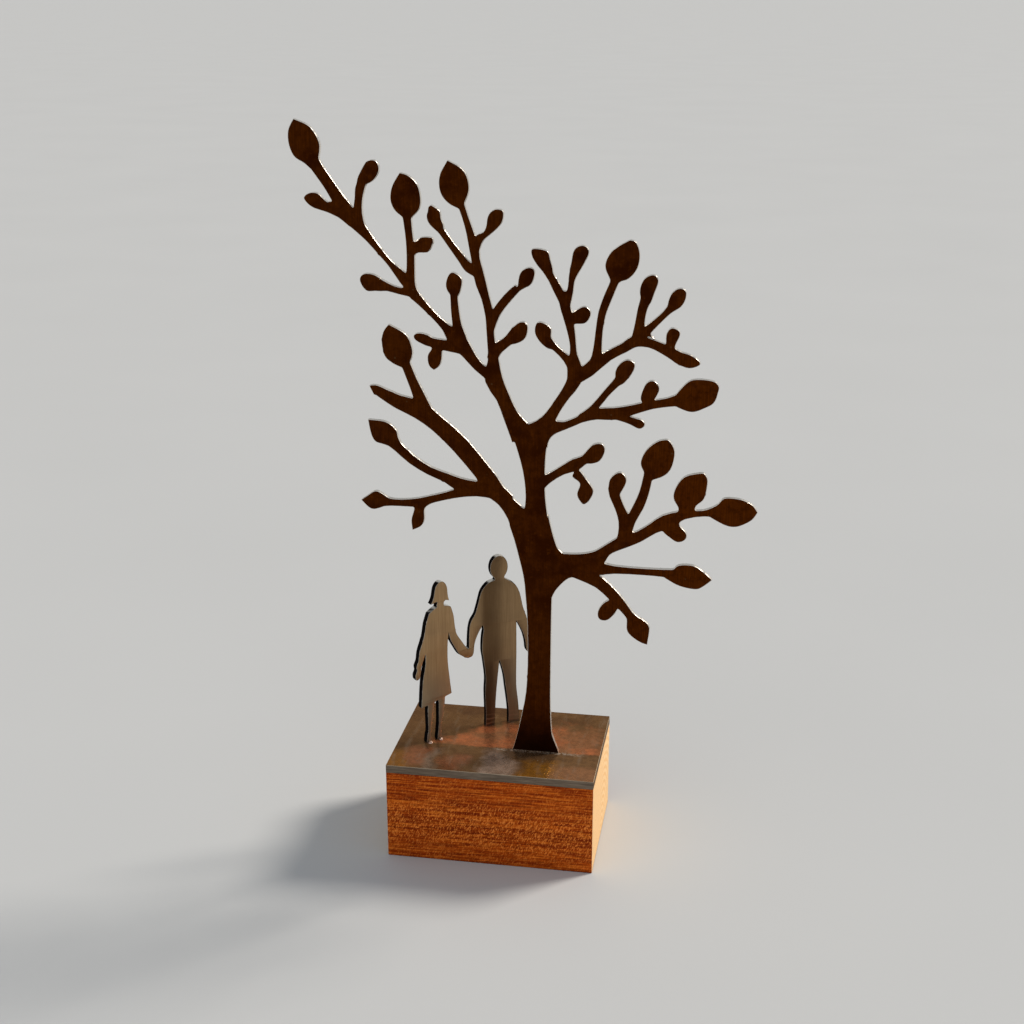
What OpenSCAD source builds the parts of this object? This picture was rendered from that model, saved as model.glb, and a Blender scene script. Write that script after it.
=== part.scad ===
// Tree of life with a couple holding hands: two standing silhouettes cut from steel sheet,
// on a steel plate over a hardwood block.
// Origin: middle of the block's underside. X runs along the block, +Y points to the back, +Z is up.

/* [Wood block] */
// Length of the block along X
block_w = 100; // [90:1:140]
// Depth of the block from front to back
block_d = 70; // [64:1:110]
// Height of the block
block_h = 45; // [40:1:60]

/* [Base plate] */
// Thickness of the steel plate that covers the block
plate_t = 4; // [3:0.5:6]

/* [Tree] */
// Thickness of the tree's sheet
tree_t = 2; // [1.5:0.5:4]
// Distance from the middle of the block forward to the tree's front face
tree_forward = 9; // [6:0.5:14]
// Narrowest slit between branches that is left open
slit_w = 0.4; // [0.2:0.1:0.6]

/* [Couple] */
// Thickness of the couple's sheet
couple_t = 3; // [2:0.5:4]
// Fold line at the joined hands: distance left of the block's middle
fold_left = 17.5; // [15:0.5:20]
// Fold line at the joined hands: distance behind the block's middle
fold_back = 8.5; // [6:0.5:10]
// Angle from the X axis of the half with the woman
woman_turn = 45; // [40:1:50]
// Angle from the X axis of the half with the man
man_turn = 31; // [26:1:36]

/* [Fixings] */
// Diameter of the studs welded under the plate
stud_d = 5; // [4:1:6]
// Distance between the two studs
stud_pitch = 64; // [50:1:70]
// Diameter of the stud holes through the block
stud_hole_d = 6; // [6:0.5:8]
// Diameter of the recesses for the nuts
recess_d = 14; // [13:0.5:18]
// Depth of the recesses for the nuts
recess_h = 12; // [9:1:16]
// Outside diameter of the washers
washer_d = 10; // [10:0.5:12]
// Thickness of the washers
washer_t = 1; // [0.8:0.1:1.5]
// Width of the nuts across their flats
nut_af = 8; // [8:0.5:10]
// Height of the nuts
nut_h = 4; // [3:0.5:5]

/* [Hidden] */
$fn = 48;

// Height of the plate's top face, on which both silhouettes stand
plate_top = block_h + plate_t;
// Length of stud that shows below the nut
stud_tail = 2;
// Height of the foot in the outlines below, which are drawn as [x, height above the table]
drawn_foot = 49;
// Steps in each stretch of a curve between two drawn points, for heads and for limbs
head_steps = 4;
limb_steps = 2;
// Leg length of the weld along the back of the tree's foot, and its length
tree_weld_leg = 2.5;
tree_weld_w = 16;
// Radius of the small welds at the couple's feet
foot_weld_r = 1.1;
// Middle of the tree's foot
tree_foot_x = 18.2;
// Middle of each foot along the couple's sheet, from the fold
woman_feet = [-23.8, -17.6];
man_feet = [11, 24];
// Bottom and top of the joined hands at the fold
hands_low = 88.2;
hands_high = 93.4;

/* ---- curves ---- */

// Point on the smooth curve from b to c, with a before and d after
function curve_point(a, b, c, d, t) =
    b + (c - a) * t / 2 + (2 * a - 5 * b + 4 * c - d) * t * t / 2
    + (3 * b - a - 3 * c + d) * t * t * t / 2;

// Open curve through the points p
function curve(p, steps = head_steps) =
    let (q = concat([2 * p[0] - p[1]], p, [2 * p[len(p) - 1] - p[len(p) - 2]]))
    [for (i = [1 : len(p) - 1], k = [0 : steps - 1])
        curve_point(q[i - 1], q[i], q[i + 1], q[i + 2], k / steps),
     p[len(p) - 1]];

// Closed curve through the points p
function loop(p) =
    let (n = len(p))
    [for (i = [0 : n - 1], k = [0 : head_steps - 1])
        curve_point(p[(i + n - 1) % n], p[i], p[(i + 1) % n], p[(i + 2) % n], k / head_steps)];

// Outline made of several curves that meet at corners
function outline(parts) = [for (p = parts) each curve(p)];

// Oval around the point c with half width rx and half height rz
function oval(c, rx, rz) = [for (a = [0 : 15 : 345]) c + [rx * cos(a), rz * sin(a)]];

/* ---- pieces of the tree's outline ---- */

// Limb along [x, height, width] stations
module limb(stations) {
    run = curve(stations, limb_steps);
    last = len(run) - 1;
    function ahead(i) = run[min(i + 1, last)] - run[max(i - 1, 0)];
    function edge(i, side) =
        let (along = [ahead(i).x, ahead(i).y] / norm([ahead(i).x, ahead(i).y]))
        [run[i].x, run[i].y] + side * run[i].z / 2 * [-along.y, along.x];
    polygon([for (i = [0 : last]) edge(i, 1), for (i = [last : -1 : 0]) edge(i, -1)]);
}

// Filling in the corner between two limbs, with a curved free edge
module web(corner, edge) {
    polygon(concat([corner], curve(edge, limb_steps)));
}

// Leaf with a sharp tip, where the curve "up" ends and the curve "down" starts
module leaf(up, down) {
    polygon(outline([up, down]));
}

// Rounded bud
module bud(points) {
    polygon(loop(points));
}

module trunk() {
    difference() {
        limb([[18.4, 46, 25.4], [18.4, 49.5, 22.8], [18.3, 52, 21], [18.2, 55, 19.1], [18.2, 60, 16.4],
              [18.9, 70, 13.8], [19.6, 80, 12], [20, 95, 11.2], [20, 115, 11.4], [19.6, 130, 12.6],
              [19.3, 140, 14], [18.3, 150, 16.4], [16.5, 160, 17.8], [14, 168, 18]]);
        // the foot is cut level
        translate([0, drawn_foot - 10]) square([40, 10]);
    }
    limb([[18, 150, 16], [17.6, 165, 13.5], [17.9, 175, 10], [17.6, 183, 9.2],
          [17, 192, 10.4], [16.2, 200, 12.8], [15.6, 207, 16], [15, 212, 18]]);
    web([20, 150], [[23.9, 171], [25.2, 165], [27, 158.5], [28.6, 154.5], [31, 152.3]]);
    web([21, 213], [[23.2, 203], [23.7, 206], [25.2, 208.6], [27.6, 210.4], [31, 211.9]]);
    web([24, 142], [[25.8, 130], [27.2, 133], [28.5, 135], [31, 138], [33.5, 140.2], [36.5, 141.4]]);
}

module left_limbs() {
    // lower limb and the long one above it
    limb([[14, 162, 14], [8.6, 170.7, 9.4], [2.6, 177.7, 7.2], [-4.2, 185.8, 9.6], [-6.5, 189.5, 8.5],
          [-17.3, 202.4, 8.7], [-27.8, 212, 8], [-36.5, 218.3, 8.8], [-46, 221.7, 6.8],
          [-52.5, 225, 5.4], [-56.4, 227, 4.6], [-58.3, 226.5, 5]]);
    limb([[-33, 216, 8], [-36.6, 226, 5.6], [-39.2, 232.2, 4.7], [-42.2, 240, 4.5]]);
    leaf([[-44.6, 238], [-48.5, 239.9], [-51.8, 243], [-53, 249.5], [-52, 254.3], [-49.5, 257.6]],
         [[-49.5, 257.6], [-43, 254.2], [-40.3, 251.3], [-38.6, 245.5], [-39.7, 241], [-42, 238]]);
    // two leaves low on the left
    limb([[5, 176, 8], [-2, 181.5, 8.5], [-10, 181.8, 7.4], [-18, 183.5, 6.6], [-24, 186.4, 4.8],
          [-32, 189.4, 4.2], [-40, 194.2, 4.5], [-46.3, 199.8, 4.8], [-49, 202.5, 6]]);
    leaf([[-50, 200.2], [-54.5, 201.4], [-57.3, 202.3], [-59.2, 205.8], [-60.5, 212.8]],
         [[-60.5, 212.8], [-52, 212], [-47.2, 208.3], [-46.4, 205], [-45.3, 201.8], [-48, 201]]);
    limb([[0, 181, 6], [-10, 180.6, 5], [-18, 179.4, 4.6], [-24, 177.6, 3.8], [-30, 175.9, 3.8],
          [-37, 173.7, 4.4], [-44, 173.1, 3.6], [-50, 173, 3.6], [-54, 173.3, 5]]);
    leaf([[-53.5, 171], [-56, 169.9], [-59, 169.1], [-61.5, 170], [-65, 173.5]],
         [[-65, 173.5], [-61.5, 176], [-57.5, 178.3], [-52.5, 175.6], [-51, 174]]);
    leaf([[-30.5, 174], [-33, 172.3], [-34.6, 170.3], [-34.6, 165.5], [-36.3, 162], [-40.6, 159.8]],
         [[-40.6, 159.8], [-41, 165], [-39.6, 170], [-39.6, 173]]);
}

module upper_left_limbs() {
    // stem from the fork of the trunk to the top
    limb([[12, 208, 12], [6.5, 217, 7.5], [2.6, 226, 6.6], [-1.5, 234, 8.5], [-1.6, 243, 5.2],
          [-2.6, 251, 3.8], [-3, 257, 3.7], [-3.2, 263, 4.2], [-5.1, 271, 4], [-7, 277, 5],
          [-8.4, 283, 4.8], [-9.4, 288, 4.1], [-10, 292.5, 4.6], [-11.9, 300, 3.5],
          [-13.8, 306, 3], [-15.8, 312, 3.2]]);
    leaf([[-16.8, 309.8], [-20.5, 311.5], [-23.6, 314.3], [-25.3, 318.5], [-24.9, 324.3],
          [-21.5, 330.5]],
         [[-21.5, 330.5], [-16.5, 327.9], [-13.2, 324.4], [-12, 318], [-14.2, 312], [-15.5, 309]]);
    bud([[-6, 299.8], [-4.6, 302.5], [-3.8, 307], [-1, 309.8], [2.9, 309.4], [2.8, 305], [0, 301.2],
         [-5.5, 296.5], [-7, 293.5], [-8.5, 290], [-9.2, 298]]);
    limb([[-8, 281, 3], [-12.4, 284, 4.6], [-15.3, 287.5, 3.8], [-19.9, 293.4, 3.2], [-24.4, 299.6, 3.1],
          [-26.5, 303, 4]]);
    leaf([[-25.4, 298.6], [-30, 302.8], [-31.2, 306.2], [-30.5, 308.5], [-30.4, 310.2], [-29, 311.2]],
         [[-29, 311.2], [-25.2, 308.6], [-24.6, 305], [-23.4, 302], [-25, 299.5]]);
    // two buds to the right of the stem
    limb([[-3, 257, 4], [-0.6, 263.8, 4.2], [3.2, 269.3, 4.2], [7, 273.6, 4], [9.5, 276, 3.4]]);
    bud([[9.6, 279], [10.8, 283], [14, 285], [16.6, 284.3], [17, 281.5], [15.4, 277.5],
         [12.5, 275.8], [9.6, 274.6]]);
    limb([[-2.5, 243, 5], [0, 247.8, 5.2], [4.4, 251.4, 4.6], [8, 255, 5]]);
    bud([[4, 253.8], [8, 259], [11.5, 260.9], [13.9, 259.3], [13.6, 255], [11.3, 251.9], [6, 250.4]]);
    // limb to the left below the stem
    limb([[-1, 234, 5], [-8.6, 239.7, 4.6], [-13.6, 246, 6], [-18.5, 252, 8.4], [-23.4, 257.1, 3.9],
          [-28.9, 262.5, 3], [-34.3, 268, 3.7], [-38.6, 273, 5.2], [-39, 278, 4.4],
          [-38.7, 284, 3.9], [-38.7, 292, 3.8], [-39.3, 299, 3.6], [-40, 306, 4]]);
    leaf([[-41.9, 305.5], [-45.4, 308.4], [-47.3, 313], [-46.3, 319], [-42.8, 324.8]],
         [[-42.8, 324.8], [-39, 323.6], [-35, 319.8], [-33.6, 314], [-34.3, 309.2], [-37.7, 305.4]]);
    bud([[-37.5, 294.2], [-35.5, 295.3], [-33.8, 297], [-28.5, 296.7], [-29.2, 292.4],
         [-31, 290.3], [-35, 290.1], [-38, 289]]);
    limb([[-16.5, 252, 6], [-18, 258, 4.4], [-18.9, 265, 3.9], [-19.3, 272, 3.6], [-19.3, 276, 5]]);
    bud([[-21.4, 272.3], [-23, 276], [-21.9, 280.2], [-19.8, 282], [-16.6, 280.2], [-15.4, 277.6],
         [-17.3, 271.5]]);
    limb([[-16, 248, 6], [-24, 248.9, 5], [-30, 250, 4.4], [-34, 251.7, 4.4]]);
    bud([[-30, 252.3], [-34, 254], [-37.3, 253.7], [-38.1, 251.8], [-36, 249.9], [-30.5, 248]]);
    leaf([[-25, 246.5], [-25.2, 242.4], [-26.5, 239], [-29, 237.2]],
         [[-29, 237.2], [-31.3, 239.3], [-31.8, 243.8], [-30, 246.8], [-29.5, 249]]);
    // long limb at the upper left
    limb([[-38, 273, 4], [-41.6, 278, 5.4], [-47.9, 284.7, 2.7], [-52.6, 290.1, 2.9], [-57.8, 296.4, 3.8],
          [-63.7, 303.1, 6.4], [-68, 308, 7.4], [-71.4, 313.5, 5.8], [-75.4, 319.7, 5.2],
          [-79.6, 325.6, 5.3], [-82, 329.5, 6]]);
    leaf([[-83.2, 325.8], [-86, 328.2], [-90.2, 330.8], [-92.4, 336], [-92.4, 342], [-89.8, 347]],
         [[-89.8, 347], [-84.3, 344.9], [-81, 342], [-78.3, 336.5], [-79, 330.6], [-81, 327]]);
    limb([[-61.3, 301, 4.6], [-62.2, 307, 4.3], [-61.6, 313, 3.7], [-61, 317, 4.4], [-60, 320, 4.2]]);
    bud([[-62.2, 320.6], [-59, 327.3], [-57, 329.6], [-53.4, 329.7], [-51.9, 326], [-54, 321.8],
         [-58, 319.4]]);
    limb([[-64, 303.5, 7], [-70, 307.4, 5.8], [-76, 309.5, 5]]);
    bud([[-70, 308], [-75.3, 311], [-78, 313.2], [-80.5, 315.3], [-84.4, 315.1], [-86.6, 312.7], [-83, 309],
         [-76, 306.8], [-70, 304.5]]);
    // bud at the far left of the limb
    limb([[-38, 272.5, 5], [-44, 272.8, 3.2], [-49, 274.2, 3.6], [-54, 275.5, 6]]);
    bud([[-50.5, 276.3], [-55.5, 279.8], [-60.5, 280], [-62.3, 277], [-59.5, 272.5], [-55.5, 272.4],
         [-50, 272.8]]);
}

module upper_right_limbs() {
    limb([[15, 207, 14], [21.2, 213, 8.4], [24.8, 218.5, 5.6], [28, 223.8, 5], [31.4, 229, 5.2],
          [34.8, 234.6, 6.6], [35.2, 240.5, 7], [34.5, 246.5, 3.8], [34.3, 251, 3],
          [33.3, 257.5, 3.7], [31.7, 264, 4.4], [30.4, 269, 4.8], [29.6, 275, 5]]);
    // pair of buds at the top
    limb([[30, 270, 4], [27, 276, 4.2], [24.4, 280.6, 3.6], [21.5, 285.5, 4.4]]);
    bud([[20.6, 283.4], [16.4, 288.4], [15.3, 292.6], [18, 293.4], [22.6, 292.3], [23.8, 289],
         [25, 283]]);
    limb([[31, 269, 4], [32.7, 275, 3], [33.3, 280, 2.9], [34.6, 285, 4.6]]);
    bud([[31.9, 280], [33, 288], [34.3, 293.5], [38, 295.4], [40.8, 293.2], [39.8, 289.4],
         [34.9, 281]]);
    // short bud to the right, bud to the left
    bud([[32, 264], [34, 265.7], [39, 268.7], [42.1, 265.8], [39.8, 261.2], [34.5, 260.5], [32, 258]]);
    limb([[34, 241.5, 5], [31.3, 245, 3.6], [26.6, 249.2, 2.8], [22, 253.5, 5]]);
    bud([[20, 251.3], [17.2, 255.6], [17.5, 259.8], [20, 261], [24.4, 258.3], [24.5, 254], [26.4, 250.8],
         [24, 248.8]]);
    // stem and leaf
    limb([[39, 239.5, 4], [44.2, 243.5, 5.4], [45.2, 250, 4], [45.8, 258, 3.4], [47, 266, 3.7],
          [49.4, 273, 4], [51.6, 278.5, 3.8], [52.4, 280.5, 4]]);
    leaf([[52, 277], [54.5, 279.8], [58.5, 281.5], [62, 286], [62.9, 292], [61.2, 297.2], [58.5, 298.3]],
         [[58.5, 298.3], [54, 295.7], [49.8, 292.1], [47.8, 286.4], [50.3, 280.2], [50.5, 277]]);
    // long limb to the right
    limb([[35, 236, 6], [41.5, 239.6, 5.4], [50, 246.8, 4.6], [57, 250.8, 4.6], [62, 254, 5.4],
          [68.5, 253.2, 4.2], [74, 251, 4.6], [79, 248.4, 5.2], [83, 246.2, 6]]);
    bud([[79.5, 249.6], [85, 249.1], [89, 247], [90.7, 244.8], [88.5, 243.2], [84.5, 242.8],
         [78, 246]]);
    bud([[75.2, 253], [75.3, 257.5], [77, 260.2], [79.5, 260.1], [81.5, 257.8], [79.4, 252.4],
         [79.2, 249], [75, 249]]);
    limb([[61.5, 253.5, 4], [63.2, 257, 5.6], [63.6, 262, 4.4], [64.5, 268, 4.3], [66.3, 274, 5]]);
    bud([[63.8, 273], [63.2, 277], [65, 281.6], [69, 283.5], [71.3, 281], [69.8, 275.8],
         [67.4, 270]]);
    limb([[63, 255, 5], [68.6, 260.5, 3.6], [72.5, 264.3, 3], [76, 268, 3.3], [79, 271.5, 6]]);
    web([66, 257], [[70, 261.6], [68.6, 258.6], [68.8, 256.6], [70.5, 255]]);
    bud([[75.4, 270], [76.9, 275.4], [80.5, 278], [83.5, 276.2], [82.2, 270.8], [77.6, 267.8]]);
}

module right_limbs() {
    limb([[15, 209, 10], [24, 213.3, 5.6], [31, 214, 3.8], [38, 217.3, 3.6], [45, 220, 5.2],
          [54, 220.6, 5.8], [62, 222.9, 4.6], [70, 225.4, 4], [77, 226.8, 4.2], [83, 228.4, 6]]);
    limb([[53, 219.6, 3], [59, 218.2, 3.4], [63, 216.9, 4]]);
    bud([[60, 218.8], [65.2, 218.4], [67.2, 216.2], [65, 214], [61, 215.8]]);
    limb([[38, 217.6, 4], [43.6, 222.2, 3.6], [49.5, 229.8, 3.3], [54.5, 235.5, 4], [56, 237.5, 5]]);
    bud([[53.2, 238], [54.4, 242.6], [58.4, 245.5], [62, 243.5], [60.5, 238.7], [55.8, 233.7]]);
    bud([[65, 227], [65.3, 231], [67.4, 235.4], [70.5, 236.4], [73.2, 233], [71.2, 228],
         [69, 225]]);
    leaf([[80, 229.8], [82.2, 233], [86.5, 237.2], [92, 237.9], [97.5, 237], [99.5, 234.5]],
         [[99.5, 234.5], [97.6, 227.8], [93, 224.7], [87.5, 222.8], [81, 224.9], [79, 227]]);
    // twig with two buds
    limb([[17, 184, 8], [23.5, 188.4, 4.4], [30, 192.7, 4.2], [36, 195.8, 6], [40, 198.3, 4.2],
          [44, 201.4, 6.5]]);
    bud([[41.4, 201.9], [43.6, 205.6], [48, 206.3], [49.5, 203], [46.8, 197.8], [41, 196.8]]);
    bud([[38.3, 187], [36.9, 182], [38.4, 178.5], [40.4, 177], [43, 179.4], [44.6, 183.8],
         [42, 188], [37.5, 193.5], [34.6, 190.2]]);
}

module lower_right_limbs() {
    limb([[20, 146, 14], [31, 147, 11], [40, 147.5, 11], [46.5, 150.6, 8.4], [50, 154.2, 5.6],
          [53, 156.6, 5.2], [60, 160.5, 6.4], [66, 163, 5.4], [72, 167.2, 5.4], [78, 170.8, 7],
          [86, 174.5, 4.2], [95, 175.8, 3], [101, 177, 6]]);
    limb([[57, 158, 5], [59, 163, 6], [59, 170, 5.6], [56.6, 176.5, 4.6], [54.3, 182, 5],
          [54, 186, 6]]);
    bud([[51.6, 184], [51.9, 189.8], [56.3, 193.4], [59.6, 190], [58, 185.2], [56.3, 182.5],
         [54, 181]]);
    limb([[59, 162, 6], [61.9, 170.5, 4.8], [65.3, 177.5, 5], [67.6, 184, 4.6], [69, 191, 4.4],
          [69.3, 194, 4]]);
    leaf([[67.4, 193.5], [65.6, 198.3], [68, 204.3], [73, 208.7], [77.2, 209.8]],
         [[77.2, 209.8], [79, 208.3], [80.9, 204], [79.8, 197], [76.7, 192.8], [70.7, 190.2], [68, 190]]);
    leaf([[83.4, 177.6], [80.8, 183], [82.7, 189.2], [86.5, 193.2], [93.5, 195]],
         [[93.5, 195], [95.3, 193.6], [96.1, 190.5], [94.8, 182.7], [91.2, 179], [90, 174], [83, 174]]);
    leaf([[98.3, 177.6], [101.6, 181.2], [104, 183.6], [111, 183.4], [116.4, 181], [119, 177.6]],
         [[119, 177.6], [116.3, 173.6], [110.5, 170.4], [105.5, 170.4], [99, 173.4], [97, 175]]);
    bud([[76.5, 166.5], [80, 163.2], [83.5, 161.2], [87, 162.6], [87.5, 165.6], [84.2, 169.3],
         [84, 173], [78, 171.5]]);
    // straight stem and leaf
    limb([[36, 146, 8], [46, 146, 7], [55, 145.9, 4], [68, 145.8, 3.4], [78, 145.7, 3.9], [82, 145.4, 5]]);
    leaf([[82, 147.7], [84.5, 150.1], [91, 150.3], [96, 147.4], [100, 143.8]],
         [[100, 143.8], [96.5, 140.7], [92.8, 138.7], [85, 139.9], [78, 143.5]]);
    // limb that hangs down to the lowest leaf
    limb([[33, 146, 8], [40, 143.5, 8], [48, 139, 6], [53.8, 133.8, 5.6], [58.5, 128.7, 5],
          [62.3, 124, 4.2], [64.5, 121, 6]]);
    leaf([[61.2, 121.5], [61.4, 116], [64, 112.8], [68, 110.3], [71.2, 109.3]],
         [[71.2, 109.3], [72, 118], [69, 121.7], [64.5, 123.6], [62, 125]]);
    bud([[52.8, 130.7], [49.6, 128.4], [47.5, 124.3], [48.3, 120.7], [52, 120.4], [55.2, 123.5],
         [57, 127.2], [56, 130.5]]);
}

module tree_outline() {
    // widening and narrowing again closes the slits that are too narrow to cut
    offset(delta = -slit_w / 2) offset(delta = slit_w / 2) {
        trunk();
        left_limbs();
        upper_left_limbs();
        upper_right_limbs();
        right_limbs();
        lower_right_limbs();
    }
}

/* ---- the couple's outlines: [distance along the sheet from the fold, height] ---- */

module woman_outline() {
    offset(delta = -slit_w / 2) offset(delta = slit_w / 2) {
        // dress and arms
        polygon(outline([
            [[0, hands_high], [-1.2, 93.6], [-4.5, 98.6], [-7.2, 103], [-8.2, 108], [-8.8, 113],
             [-10.3, 118]],
            [[-10.3, 118], [-14, 119.3], [-18.6, 119.3], [-22.8, 117]],
            [[-22.8, 117], [-24.6, 112], [-25.9, 105.5], [-28.4, 98.8], [-29.2, 94], [-30.4, 91.2],
             [-30.1, 89], [-31, 87], [-31, 85]],
            [[-31, 85], [-30.4, 84], [-28.8, 84.6], [-28.1, 87], [-27.4, 91], [-25.2, 96.6]],
            [[-25.2, 96.6], [-25.3, 91], [-27, 82], [-28, 68.4]],
            [[-28, 68.4], [-20, 70], [-10.5, 72]],
            [[-10.5, 72], [-11.6, 81], [-12.5, 90], [-12.4, 99], [-11.7, 104.8]],
            [[-11.7, 104.8], [-10.7, 100.6], [-8.3, 96], [-5.4, 91.2], [-3.5, 90.1],
             [-2.5, 88.9], [0, hands_low]]]));
        // legs and feet
        limb([[-22.2, 72, 4.2], [-22.9, 64, 3.2], [-23.4, 57, 1.8], [-23.6, 53, 1.9]]);
        limb([[-16.2, 73, 3.8], [-16.5, 65, 3.2], [-17.4, 57, 1.7], [-17.8, 53, 1.9]]);
        for (foot = woman_feet)
            polygon(outline([[[foot - 1.5, 49], [foot - 1.4, 50.6], [foot - 0.9, 54]],
                             [[foot + 0.9, 54], [foot + 1.2, 50.6], [foot + 1.5, 49]]]));
        // head with shoulder-length hair
        translate([-16.3, 119]) square([4, 5], center = true);
        polygon(oval([-15.8, 126.4], 3.7, 5.7));
        polygon(outline([[[-12.3, 128], [-11.9, 124], [-11.2, 121.4]],
                         [[-11.2, 121.4], [-16, 122.6], [-21.6, 121.4]],
                         [[-21.6, 121.4], [-20.2, 124], [-19.3, 128]]]));
    }
}

module man_outline() {
    offset(delta = -slit_w / 2) offset(delta = slit_w / 2) {
        // shoulders, arms and trousers
        polygon(outline([
            [[0, hands_high], [0.1, 98], [0.4, 104], [1.3, 107.5], [3.4, 111], [5.2, 117], [6.8, 122.4],
             [10, 126.1], [14, 127.4]],
            [[19, 127.4], [24, 124], [26.7, 119], [28.4, 111.5], [30.4, 105.5], [32.2, 98], [32.6, 92]],
            [[32.6, 92], [33, 88.5], [31.6, 86.2], [30.4, 87.8], [29.9, 92], [28.4, 97.6], [25, 104.4]],
            [[25, 104.4], [25.1, 88], [25, 70], [26, 60], [26.8, 49]],
            [[20.9, 49], [20.8, 57], [19.4, 68.5], [18.2, 77], [16, 84.5]],
            [[16, 84.5], [15.2, 77], [14.1, 65], [13.3, 49]],
            [[8.6, 49], [8.7, 57], [8.4, 68], [8.7, 76], [7.7, 85], [6.9, 91], [7.2, 98], [7.8, 102],
             [7.2, 104.6]],
            [[7.2, 104.6], [4.4, 99.5], [2.9, 95], [2.5, 91], [1.7, 88.8], [0, hands_low]]]));
        // head and neck
        translate([16.2, 127.5]) square([5, 5], center = true);
        polygon(oval([15.9, 133.6], 4.6, 6.1));
    }
}

/* ---- placing ---- */

// Stands an outline upright with its front face on the XZ plane, its foot on the base plate
module stand(thickness) {
    translate([0, thickness, plate_top - drawn_foot]) rotate([90, 0, 0])
        linear_extrude(thickness) children();
}

// Carries the children to the fold and turns them by the angle
module at_fold(turn) {
    translate([-fold_left, fold_back, 0]) rotate(turn) children();
}

module at_studs() {
    for (side = [-1, 1]) translate([side * stud_pitch / 2, 0, 0]) children();
}

// Quarter of a ball that fills the corner in front of an upright face
module foot_weld() {
    intersection() {
        sphere(foot_weld_r);
        translate([-foot_weld_r, -foot_weld_r, 0])
            cube([2 * foot_weld_r, foot_weld_r, foot_weld_r]);
    }
}

/* ---- nodes ---- */

module wood_block() {
    color("#9a4a1f") difference() {
        translate([-block_w / 2, -block_d / 2, 0]) cube([block_w, block_d, block_h]);
        at_studs() {
            translate([0, 0, -1]) cylinder(d = stud_hole_d, h = block_h + 2);
            translate([0, 0, -1]) cylinder(d = recess_d, h = recess_h + 1);
        }
    }
}

module base_plate() {
    color("#7d5f45") translate([-block_w / 2, -block_d / 2, block_h])
        cube([block_w, block_d, plate_t]);
}

module tree() {
    color("#3a1c0a") translate([0, -tree_forward, 0]) stand(tree_t) tree_outline();
}

module couple() {
    color("#8a7350") {
        at_fold(woman_turn) stand(couple_t) woman_outline();
        at_fold(man_turn) stand(couple_t) man_outline();
        // the hands, folded between the two halves
        at_fold(man_turn + 90) translate([0, 0, plate_top - drawn_foot + hands_low])
            rotate_extrude(angle = woman_turn - man_turn) square([couple_t, hands_high - hands_low]);
    }
}

module tree_weld() {
    color("#4a4038") translate([tree_foot_x - tree_weld_w / 2, tree_t - tree_forward, plate_top])
        rotate([90, 0, 90]) linear_extrude(tree_weld_w) difference() {
            square(tree_weld_leg);
            translate([tree_weld_leg, tree_weld_leg]) circle(0.7 * tree_weld_leg);
        }
}

module couple_welds() {
    color("#b09a80") {
        for (foot = woman_feet) at_fold(woman_turn) translate([foot, 0, plate_top]) foot_weld();
        for (foot = man_feet) at_fold(man_turn) translate([foot, couple_t, plate_top])
            rotate(180) foot_weld();
    }
}

module fixing_studs() {
    low = recess_h - washer_t - nut_h - stud_tail;
    color("#b08d3c") at_studs() translate([0, 0, low]) cylinder(d = stud_d, h = block_h - low);
}

module fixing_washers() {
    color("#a9adb0") at_studs() translate([0, 0, recess_h - washer_t]) difference() {
        cylinder(d = washer_d, h = washer_t);
        translate([0, 0, -1]) cylinder(d = stud_d + 0.3, h = washer_t + 2);
    }
}

module fixing_nuts() {
    color("#a9adb0") at_studs() translate([0, 0, recess_h - washer_t - nut_h]) difference() {
        cylinder(d = nut_af / cos(30), h = nut_h, $fn = 6);
        translate([0, 0, -1]) cylinder(d = stud_d, h = nut_h + 2);
    }
}

wood_block();
base_plate();
tree();
couple();
tree_weld();
couple_welds();
fixing_studs();
fixing_washers();
fixing_nuts();
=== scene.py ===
import math
import random

import bmesh
import bpy
import numpy as np
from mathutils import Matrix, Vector, noise
from mathutils.geometry import tessellate_polygon


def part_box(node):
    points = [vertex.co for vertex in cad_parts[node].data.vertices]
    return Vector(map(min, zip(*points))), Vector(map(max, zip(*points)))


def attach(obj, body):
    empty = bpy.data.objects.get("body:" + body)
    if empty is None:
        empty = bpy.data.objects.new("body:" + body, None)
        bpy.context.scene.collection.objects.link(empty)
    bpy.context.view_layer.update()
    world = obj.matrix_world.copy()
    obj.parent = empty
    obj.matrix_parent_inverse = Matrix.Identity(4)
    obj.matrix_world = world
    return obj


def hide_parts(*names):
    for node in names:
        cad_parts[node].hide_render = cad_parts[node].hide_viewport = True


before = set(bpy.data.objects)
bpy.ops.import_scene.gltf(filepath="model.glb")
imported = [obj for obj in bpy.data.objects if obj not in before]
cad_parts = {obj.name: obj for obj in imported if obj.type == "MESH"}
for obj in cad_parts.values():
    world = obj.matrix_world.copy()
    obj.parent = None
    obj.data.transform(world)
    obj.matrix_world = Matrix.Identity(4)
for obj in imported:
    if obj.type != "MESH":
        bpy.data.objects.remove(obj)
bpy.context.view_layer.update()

MM = 0.001
BODY = "root"
# two places nearer than this are one
SAME_PLACE = 2e-6
# bend radius of the couple's sheet at the joined hands
BEND = 4 * MM
# half width of the floor
FLOOR_REACH = 120.0
# the copper heat colour on the plate ends along a line that climbs this much in Y for each X
COPPER_SLOPE = 0.78

# ---------------------------------------------------------------- node materials


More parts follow.
